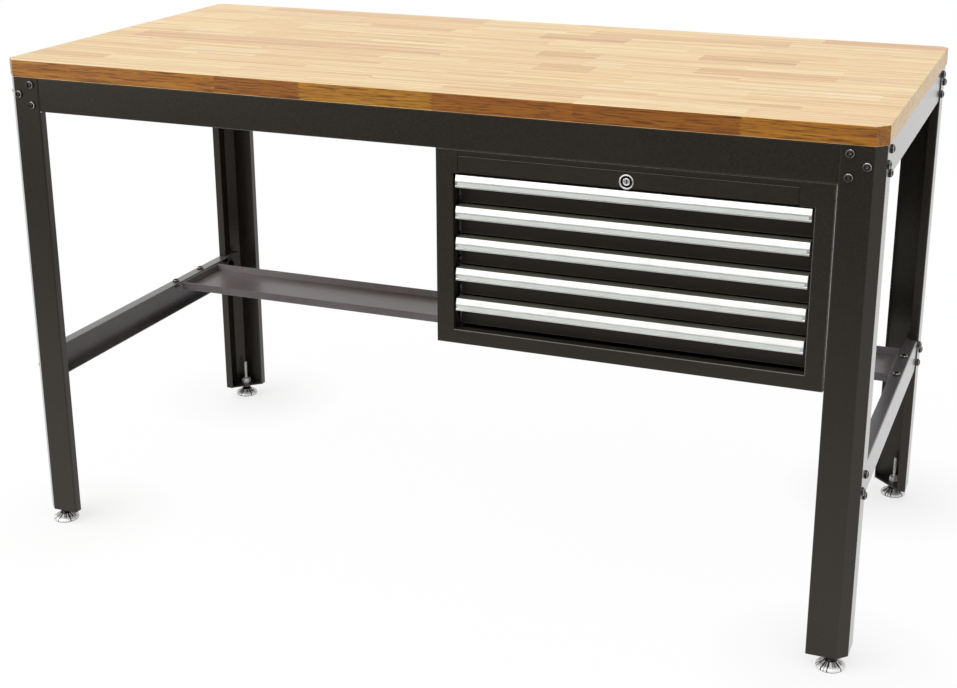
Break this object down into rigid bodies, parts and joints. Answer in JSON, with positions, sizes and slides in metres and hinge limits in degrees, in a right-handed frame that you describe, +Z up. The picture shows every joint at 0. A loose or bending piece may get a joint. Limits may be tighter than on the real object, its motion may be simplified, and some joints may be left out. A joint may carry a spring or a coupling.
{
  "type": "workbench",
  "caption": "Wooden-topped workbench on a folded steel frame with levelling feet, a rear trough and a hung chest of shallow drawers.",
  "frame": {"origin": "on the floor under the middle of the bench", "axes": "+X to the right along the front, +Y to the back, +Z up"},
  "size_m": [1.5308, 0.7428, 0.89],
  "materials": {
    "wood": "lacquered laminated staves",
    "frame_coat": "semi-gloss powder coat",
    "chest_coat": "semi-gloss powder coat",
    "aluminium": "satin anodised",
    "chrome": "polished",
    "zinc_steel": "zinc plated",
    "black_steel": "black oxide"
  },
  "bodies": {
    "bench": {"worktop": "wood", "leg_front_left": "frame_coat", "leg_front_right": "frame_coat", "leg_rear_left": "frame_coat", "leg_rear_right": "frame_coat", "rail_front": "frame_coat", "rail_rear": "frame_coat", "rail_left": "frame_coat", "rail_right": "frame_coat", "stretcher_left": "frame_coat", "stretcher_right": "frame_coat", "rear_tray": "frame_coat", "foot_plates": "frame_coat", "frame_bolts": "black_steel", "frame_nuts": "zinc_steel", "worktop_screws": "zinc_steel", "foot_nuts": "zinc_steel", "face_frame": "chest_coat", "lock_rail": "chest_coat", "chest_left_side": "chest_coat", "chest_right_side": "chest_coat", "chest_top": "chest_coat", "chest_bottom": "chest_coat", "chest_back": "chest_coat", "runner_posts_left": "zinc_steel", "runner_posts_right": "zinc_steel", "runner_outer_left": "zinc_steel", "runner_outer_right": "zinc_steel", "chest_hangers": "zinc_steel", "chest_bolts": "zinc_steel", "chest_nuts": "zinc_steel", "lock_barrel": "chrome"},
    "foot_front_left": {"foot_front_left": "chrome"},
    "foot_front_right": {"foot_front_right": "chrome"},
    "foot_rear_left": {"foot_rear_left": "chrome"},
    "foot_rear_right": {"foot_rear_right": "chrome"},
    "drawer_1": {"drawer_1": "chest_coat", "handle_1": "aluminium", "runner_inner_1": "zinc_steel"},
    "runner_1": {"runner_middle_1": "zinc_steel"},
    "drawer_2": {"drawer_2": "chest_coat", "handle_2": "aluminium", "runner_inner_2": "zinc_steel"},
    "runner_2": {"runner_middle_2": "zinc_steel"},
    "drawer_3": {"drawer_3": "chest_coat", "handle_3": "aluminium", "runner_inner_3": "zinc_steel"},
    "runner_3": {"runner_middle_3": "zinc_steel"},
    "drawer_4": {"drawer_4": "chest_coat", "handle_4": "aluminium", "runner_inner_4": "zinc_steel"},
    "runner_4": {"runner_middle_4": "zinc_steel"},
    "drawer_5": {"drawer_5": "chest_coat", "handle_5": "aluminium", "runner_inner_5": "zinc_steel"},
    "runner_5": {"runner_middle_5": "zinc_steel"},
    "lock_plug": {"lock_plug": "chrome", "lock_rod": "zinc_steel"},
    "lock_bar": {"lock_bar": "zinc_steel"}
  },
  "joints": [
    {"name": "drawer_1_slide", "type": "slide", "parent": "bench", "child": "drawer_1", "axis": [0, -1, 0], "range_m": [0, 0.38]},
    {"name": "runner_1_slide", "type": "slide", "parent": "bench", "child": "runner_1", "axis": [0, -1, 0], "range_m": [0, 0.19]},
    {"name": "drawer_2_slide", "type": "slide", "parent": "bench", "child": "drawer_2", "axis": [0, -1, 0], "range_m": [0, 0.38]},
    {"name": "runner_2_slide", "type": "slide", "parent": "bench", "child": "runner_2", "axis": [0, -1, 0], "range_m": [0, 0.19]},
    {"name": "drawer_3_slide", "type": "slide", "parent": "bench", "child": "drawer_3", "axis": [0, -1, 0], "range_m": [0, 0.38]},
    {"name": "runner_3_slide", "type": "slide", "parent": "bench", "child": "runner_3", "axis": [0, -1, 0], "range_m": [0, 0.19]},
    {"name": "drawer_4_slide", "type": "slide", "parent": "bench", "child": "drawer_4", "axis": [0, -1, 0], "range_m": [0, 0.38]},
    {"name": "runner_4_slide", "type": "slide", "parent": "bench", "child": "runner_4", "axis": [0, -1, 0], "range_m": [0, 0.19]},
    {"name": "drawer_5_slide", "type": "slide", "parent": "bench", "child": "drawer_5", "axis": [0, -1, 0], "range_m": [0, 0.38]},
    {"name": "runner_5_slide", "type": "slide", "parent": "bench", "child": "runner_5", "axis": [0, -1, 0], "range_m": [0, 0.19]},
    {"name": "foot_front_left_screw", "type": "slide", "parent": "bench", "child": "foot_front_left", "axis": [0, 0, -1], "range_m": [0, 0.03]},
    {"name": "foot_front_right_screw", "type": "slide", "parent": "bench", "child": "foot_front_right", "axis": [0, 0, -1], "range_m": [0, 0.03]},
    {"name": "foot_rear_left_screw", "type": "slide", "parent": "bench", "child": "foot_rear_left", "axis": [0, 0, -1], "range_m": [0, 0.03]},
    {"name": "foot_rear_right_screw", "type": "slide", "parent": "bench", "child": "foot_rear_right", "axis": [0, 0, -1], "range_m": [0, 0.03]},
    {"name": "lock_turn", "type": "hinge", "parent": "bench", "child": "lock_plug", "pos_m": [0.37575, -0.3635, 0.774], "axis": [0, -1, 0], "range_deg": [0, 90]},
    {"name": "lock_bar_lift", "type": "slide", "parent": "bench", "child": "lock_bar", "axis": [0, 0, 1], "range_m": [0, 0.006]}
  ],
  "couplings": [
    {"joint": "runner_1_slide", "follows": "drawer_1_slide", "ratio": 0.5},
    {"joint": "runner_2_slide", "follows": "drawer_2_slide", "ratio": 0.5},
    {"joint": "runner_3_slide", "follows": "drawer_3_slide", "ratio": 0.5},
    {"joint": "runner_4_slide", "follows": "drawer_4_slide", "ratio": 0.5},
    {"joint": "runner_5_slide", "follows": "drawer_5_slide", "ratio": 0.5},
    {"joint": "lock_turn", "follows": "lock_bar_lift", "rad_per_m": 261.8}
  ]
}
